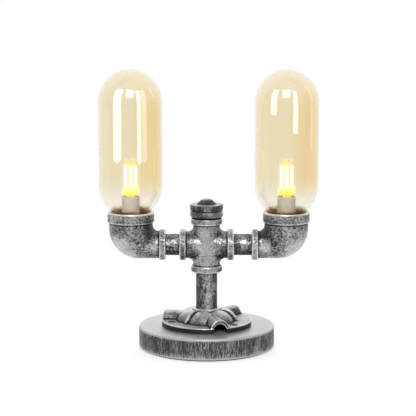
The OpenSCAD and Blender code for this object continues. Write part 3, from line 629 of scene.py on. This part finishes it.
def even_mesh(node, face):
    """Copy of a CAD node's mesh in even faces of about that size."""
    source = bpy.data.objects.new("source", frame["nodes"][node].data.copy())
    bpy.context.scene.collection.objects.link(source)
    remesh = source.modifiers.new("even", "REMESH")
    remesh.mode = "VOXEL"
    remesh.voxel_size = face
    graph = bpy.context.evaluated_depsgraph_get()
    mesh = bpy.data.meshes.new_from_object(source.evaluated_get(graph))
    bpy.data.objects.remove(source)
    return mesh


def keep_value(mesh, name, values):
    """Keeps a value on each of the mesh's vertices."""
    kept = mesh.attributes.new(name, "FLOAT", "POINT")
    kept.data.foreach_set("value", values.astype(np.float32))


def fade(distance, near, far):
    """1 up to the near distance, down to 0 at the far one."""
    return np.clip((far - distance) / (far - near), 0.0, 1.0)


def elbow_wear_and_light(x, y, z):
    """Bend, band and lip rubbed bright, a painted highlight on the level run, and painted shade in the
    inner corner.
    """
    along = np.abs(x)
    out, up = along - along.min(), z - z.min()
    bend = fade(np.hypot(along.max() - along, up), *WORN_BEND)
    # Painted highlight on the level run
    run = fade(np.hypot(out - RUN_HIGHLIGHT_MIDDLE[0], up - RUN_HIGHLIGHT_MIDDLE[1]), *RUN_PAINTED_HIGHLIGHT)
    lip, band = fade(z.max() - z, *WORN_LIP), BAND_SHARE * fade(out, *WORN_BAND)
    # Painted shade in the inner corner
    crook_shade = fade(np.hypot(out - CROOK_SHADE_AT[0], up - CROOK_SHADE_AT[1]), *CROOK_PAINTED_SHADE)
    return np.maximum.reduce((bend, run, lip, band)) - CROOK_SHADE_SHARE * crook_shade


def cross_wear_and_light(x, y, z):
    """Upright middle brighter, rubbed silver and painted light from the front, the arms' bands rubbed
    bright, and painted shade on the top face under the knob.
    """
    along = np.abs(x)
    band = BAND_SHARE * fade(along.max() - along, *WORN_BAND)
    return np.maximum(fade(along, *CROSS_WEAR_AND_LIGHT), band) - BLACK_AND_SHADE_SHARE * fade(z.max() - z, *CROSS_TOP_SHADE)


def nipple_painted_highlight(x, y, z):
    """Painted highlight on the middle, just over the axis."""
    middle, level = (x.min() + x.max()) / 2, (z.min() + z.max()) / 2 + NIPPLE_HIGHLIGHT_RISE
    return fade(np.hypot(x - middle, z - level), *NIPPLE_PAINTED_HIGHLIGHT)


def riser_painted_highlight(x, y, z):
    """Painted highlight: a line down the front and another down the back."""
    return fade(np.hypot(x - RISER_HIGHLIGHT_LINE[0], np.abs(y) - RISER_HIGHLIGHT_LINE[1]), *RISER_PAINTED_HIGHLIGHT)


def flange_wear_and_shade(x, y, z):
    """Petals rubbed bright, and a black edge of the plate: black paint and painted contact shadow."""
    petals = PETAL_SHARE * fade(np.hypot(x, y), *WORN_PETALS)
    return petals - BLACK_AND_SHADE_SHARE * fade(z - z.min(), *PLATE_EDGE_BLACK_AND_SHADE)


def knob_painted_light(x, y, z):
    """Lower disc brightened: painted light where the upper disc shades it."""
    return KNOB_LIGHT_SHARE * fade(z - z.min(), *KNOB_PAINTED_LIGHT)


def no_wear_or_light(x, y, z):
    """No wear and no painted light."""
    return np.zeros(len(z))


# Per node: where silver is rubbed on, and where highlights and shade are painted
WEAR_AND_LIGHT_MAPS = {
    "left_elbow": elbow_wear_and_light,
    "right_elbow": elbow_wear_and_light,
    "pipe_cross": cross_wear_and_light,
    "left_nipple": nipple_painted_highlight,
    "right_nipple": nipple_painted_highlight,
    "riser_pipe": riser_painted_highlight,
    "floor_flange": flange_wear_and_shade,
    "knob": knob_painted_light,
}


def worn_mesh(node, face, depth, size, stretch=(1.0, 1.0, 1.0)):
    """A node's mesh with eased edges and shallow pits, and where its edges, pits, wear and painted
    light and shade are.
    """
    mesh = even_mesh(node, face)
    edges = read_edges(mesh)
    points = relaxed(read_points(mesh), edges, EASE_STEPS)
    if node == "pipe_cross":
        points = blended(points, edges, CROSS_BLEND)
    normals = write_points(mesh, points)
    rise = np.sum((points - relaxed(points, edges, EDGE_STEPS)) * normals, axis=1)
    pits = np.clip(0.5 - 0.5 * noise_at(points, size, stretch), 0.0, 1.0)
    write_points(mesh, points - normals * (pits * depth)[:, None])
    keep_value(mesh, EDGE, np.clip(rise / EDGE_SCALE, -1.0, 1.0))
    keep_value(mesh, PIT, pits)
    keep_value(mesh, WEAR_AND_LIGHT, WEAR_AND_LIGHT_MAPS.get(node, no_wear_or_light)(*points.T))
    return mesh


def add_piece(name, mesh, body, slot, material, *nodes):
    """A piece of the lamp that rides on a body and stands for those nodes."""
    mesh.materials.clear()
    mesh.materials.append(material)
    mesh.shade_smooth()
    piece = bpy.data.objects.new(name, mesh)
    bpy.context.scene.collection.objects.link(piece)
    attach(piece, body)
    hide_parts(*nodes)
    return piece


def lathe(name, profile, segments, axis_x=0.0):
    """Turned mesh of a closed run of (radius, height) points; radius 0 is on the axis."""
    turns = np.linspace(0, 2 * math.pi, segments, endpoint=False)
    verts, rings = [], []
    for radius, height in profile:
        start = len(verts)
        if radius < AXIS_R:
            verts.append((axis_x, 0.0, height))
            rings.append([start] * segments)
        else:
            verts += [(axis_x + radius * math.cos(t), radius * math.sin(t), height) for t in turns]
            rings.append(list(range(start, start + segments)))
    faces = []
    for lower, upper in zip(rings, rings[1:] + rings[:1]):
        for i in range(segments):
            j = (i + 1) % segments
            face = list(dict.fromkeys((lower[i], lower[j], upper[j], upper[i])))
            if len(face) > 2:
                faces.append(face)
    mesh = bpy.data.meshes.new(name)
    mesh.from_pydata(verts, [], faces)
    mesh.validate()
    return mesh


def arc(centre_z, radius, start, end, steps):
    """(radius, height) points round a sphere's side, by angle above the horizon."""
    angles = np.radians(np.linspace(start, end, steps))
    return [(radius * math.cos(a), centre_z + radius * math.sin(a)) for a in angles]


def eased_run(run, steps):
    """A run of points with its corners eased, its two ends kept."""
    run = np.array(run)
    for _ in range(steps):
        run[1:-1] = 0.5 * run[1:-1] + 0.25 * (run[:-2] + run[2:])
    return [tuple(p) for p in run]


def shade_skin(foot, shoulder, high, radius, neck):
    """One skin of a shade from its neck's foot up to the crown, as (radius, height) points."""
    lower, upper = shoulder + math.sqrt(radius ** 2 - neck ** 2), high - radius
    meet = -math.degrees(math.acos(neck / radius))
    run = [(neck, z) for z in np.linspace(foot, shoulder, SHADE_NECK_STEPS)[:-1]]
    run += arc(lower, radius, meet, 0.0, SHADE_ARC_STEPS)
    run += [(radius, z) for z in np.linspace(lower, upper, SHADE_TUBE_STEPS)[1:-1]]
    run += arc(upper, radius, 0.0, 90.0, SHADE_ARC_STEPS)
    eased = eased_run(run, SHADE_EASE)
    return eased[:-1] + [(0.0, eased[-1][1])]


def shade_profile(low, high, radius):
    """Closed profile of a shade: outer skin up to the crown, inner skin back down, then the foot."""
    neck, ease = SHADE_NECK_R, SHADE_FOOT_EASE
    inner_r, inner_neck = radius - SHADE_WALL, neck - SHADE_WALL
    lower = SHADE_SHOULDER + math.sqrt(radius ** 2 - neck ** 2)
    inner_shoulder = lower - math.sqrt(inner_r ** 2 - inner_neck ** 2)
    outer = shade_skin(low + ease, SHADE_SHOULDER, high, radius, neck)
    inner = shade_skin(low + ease, inner_shoulder, high - SHADE_WALL, inner_r, inner_neck)
    return outer + inner[::-1] + [(inner_neck + ease, low), (neck - ease, low)]


def make_shades():
    """The two glass shades, turned as double-walled skins."""
    shades = []
    for arm in ARMS:
        node = arm + "_shade"
        low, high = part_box(node)
        axis_x, radius = (low.x + high.x) / 2, (high.x - low.x) / 2
        material = amber_glass(arm + "_amber_glass", axis_x, radius)
        profile = shade_profile(low.z, high.z, radius)
        mesh = lathe(node + "_glass", profile, SHADE_SEGMENTS, axis_x)
        shades.append(add_piece(node + "_glass", mesh, node, "amber_glass", material, node))
    return shades


def make_cast():
    """The cast fittings, pipes and knob."""
    finishes = {name: dry_brushed(name, *values) for name, values in IRON_FINISHES.items()}
    for node, iron, face, depth, size in CAST_PIECES:
        mesh = worn_mesh(node, face * MM, depth * MM, size * MM)
        body = frame["nodes"][node]["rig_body"]
        add_piece(node + "_cast", mesh, body, "antique_iron", finishes[iron], node)


def make_base():
    """The wooden disc with streaks down its side."""
    mesh = worn_mesh("base_disc", BASE_FACE, BASE_STREAK, BASE_STREAK_WIDTH, BASE_STREAK_STRETCH)
    add_piece("base_disc_wood", mesh, "stand", "base_wood", streaked_wood("base_wood"), "base_disc")


def make_felt(material):
    """The felt disc under the base, with a slight fuzz on both faces."""
    low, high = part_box("felt_pad")
    radius = high.x
    radii = np.linspace(0.0, radius, FELT_RINGS)
    under = [(r, low.z) for r in radii]
    over = [(r, high.z) for r in radii[::-1]]
    mesh = lathe("felt_disc", under + over, FELT_SEGMENTS)
    points = read_points(mesh)
    fuzz = FELT_FUZZ * (0.5 + 0.5 * noise_at(points, FELT_FUZZ_SIZE))
    middle = (low.z + high.z) / 2
    points[:, 2] += np.where(points[:, 2] > middle, -fuzz, fuzz)
    write_points(mesh, points)
    piece = add_piece("felt_disc", mesh, "stand", "felt", material, "felt_pad")


def dress_node(node, material):
    """Gives a CAD node that stays in view its finish."""
    piece = frame["nodes"][node]
    piece.data.materials.clear()
    piece.data.materials.append(material)


def dress_nodes(finishes):
    """Finishes of the solids that keep their own mesh."""
    for node, slot, name in DRESSED_NODES:
        dress_node(node, finishes[name])
    for arm in ARMS:
        for part, slot, name in DRESSED_ARM_NODES:
            dress_node(f"{arm}_{part}", finishes[name])
        strips_low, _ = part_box(arm + "_light_strips")
        low, high = (strips_low.z + way for way in BULB_PAINTED_GLOW_RUN)
        glass = bulb_glass(arm + "_bulb_glass", low, high)
        dress_node(arm + "_bulb_glass", glass)


def shown_rays(tree, share):
    """Rays that see the plain background: the camera's, those in glass, and a share in other gloss."""
    path = add(tree, "ShaderNodeLightPath").outputs
    seen = calc(tree, "MAXIMUM", path["Is Camera Ray"], path["Is Transmission Ray"])
    in_glass = calc(tree, "MINIMUM", path["Transmission Depth"], 1.0)
    gloss = calc(tree, "MULTIPLY", path["Is Glossy Ray"], calc(tree, "MAXIMUM", in_glass, share))
    return calc(tree, "MAXIMUM", seen, gloss)


def make_world():
    """A white studio behind the lamp and a dim one in front, plain white to the camera."""
    world = bpy.data.worlds.new("studio")
    bpy.context.scene.world = world
    world.use_nodes = True
    tree = world.node_tree
    way = add(tree, "ShaderNodeTexCoord").outputs["Generated"]
    depth = add(tree, "ShaderNodeSeparateXYZ", {0: way}).outputs["Y"]
    level = between(tree, between(tree, depth, *BACK_FROM), 0.0, 1.0, FRONT_LEVEL, BACK_LEVEL)
    shown = shown_rays(tree, between(tree, depth, *WHITE_FROM))
    light = tree.nodes["Background"]
    put(tree, light.inputs["Strength"], calc(tree, "MAXIMUM", level, shown))
    put(tree, light.inputs["Color"], WHITE)


def pale_floor(name):
    """Pale grey near the lamp, with its shadow, that fades to plain white further out."""
    material, tree, surface = blank(name)
    set_surface(tree, surface,
                Base_Color=rgb(FLOOR_GREY), Roughness=FLOOR_ROUGH, Specular_IOR_Level=0.0)
    place = add(tree, "ShaderNodeTexCoord").outputs["Object"]
    reach = add(tree, "ShaderNodeVectorMath", {0: place}, operation="LENGTH").outputs["Value"]
    seen = shown_rays(tree, between(tree, place_parts(tree)["Y"], *FLOOR_FRONT))
    lift = add(tree, "ShaderNodeEmission", {"Strength": calc(tree, "MULTIPLY", seen, FLOOR_LIFT)})
    near = add(tree, "ShaderNodeAddShader", {0: surface.outputs[0], 1: lift.outputs[0]})
    white = add(tree, "ShaderNodeEmission", {"Strength": 1.0})
    share = calc(tree, "MULTIPLY", between(tree, reach, *FLOOR_FADE), seen)
    show(tree, add(tree, "ShaderNodeMixShader", {0: share, 1: near.outputs[0], 2: white.outputs[0]}))
    return material


def make_floor():
    """A round floor under the lamp."""
    bpy.ops.mesh.primitive_circle_add(vertices=FLOOR_SEGMENTS, radius=FLOOR_RADIUS, fill_type="NGON")
    floor = bpy.context.object
    floor.name = "floor"
    floor.data.materials.append(pale_floor("pale_floor"))


def add_panel(name, place, aim, width, height, radiance):
    """A soft rectangular light that faces its aim."""
    data = bpy.data.lights.new(name, "AREA")
    data.shape = "RECTANGLE"
    data.size, data.size_y = width, height
    data.energy = radiance * math.pi * width * height
    lamp = bpy.data.objects.new(name, data)
    lamp.location = place
    lamp.rotation_euler = (aim - place).to_track_quat("-Z", "Y").to_euler()
    bpy.context.scene.collection.objects.link(lamp)
    return lamp


def direction(azimuth, elevation=0.0):
    """Unit vector from the lamp; azimuth 0 is the front, positive to the right."""
    turn, rise = math.radians(azimuth), math.radians(elevation)
    return Vector((math.sin(turn) * math.cos(rise), -math.cos(turn) * math.cos(rise), math.sin(rise)))


def make_panels(shades):
    """Upright panels that only the surface of one shade reflects."""
    glass = {}
    for arm, piece in zip(ARMS, shades):
        glass[arm] = bpy.data.collections.new(arm + "_glass")
        glass[arm].objects.link(piece)
    for arm, name, azimuth, distance, width, foot, top, radiance in PANELS:
        level = Vector((0.0, 0.0, (foot + top) / 2))
        place = level + direction(azimuth) * distance
        panel = add_panel(f"{arm}_glass_{name}", place, level, width, top - foot, radiance)
        panel.visible_diffuse = panel.visible_transmission = False
        panel.light_linking.receiver_collection = glass[arm]


def make_lights():
    """A key above the camera and a soft light behind, which nothing reflects."""
    azimuth, elevation, distance, width, height, radiance = KEY
    place = AIM_POINT + direction(azimuth, elevation) * distance
    add_panel("key", place, AIM_POINT, width, height, radiance)
    back, height, width, radiance = TOP_LIGHT
    soft = add_panel("top_light", Vector((0.0, back, height)), AIM_POINT, width, width, radiance)
    soft.visible_glossy = soft.visible_transmission = False


def make_camera():
    """Camera at the photograph's viewing angle."""
    data = bpy.data.cameras.new("camera")
    data.sensor_width = SENSOR_MM
    data.lens = FOCAL_PX * SENSOR_MM / IMAGE_PX
    camera = bpy.data.objects.new("camera", data)
    camera.location = CAMERA_AT
    way = Vector(CAMERA_AIM) - Vector(CAMERA_AT)
    camera.rotation_euler = way.to_track_quat("-Z", "Y").to_euler()
    bpy.context.scene.collection.objects.link(camera)
    bpy.context.scene.camera = camera


def main():
    finishes = {name: plain(name, *values) for name, values in PLAIN_FINISHES.items()}
    finishes.update({name: lit(name, *values) for name, values in LIT_FINISHES.items()})
    dress_nodes(finishes)
    make_cast()
    make_base()
    make_felt(finishes["felt"])
    shades = make_shades()
    make_world()
    make_floor()
    make_panels(shades)
    make_lights()
    make_camera()
    bpy.context.scene.view_settings.view_transform = "Standard"


main()
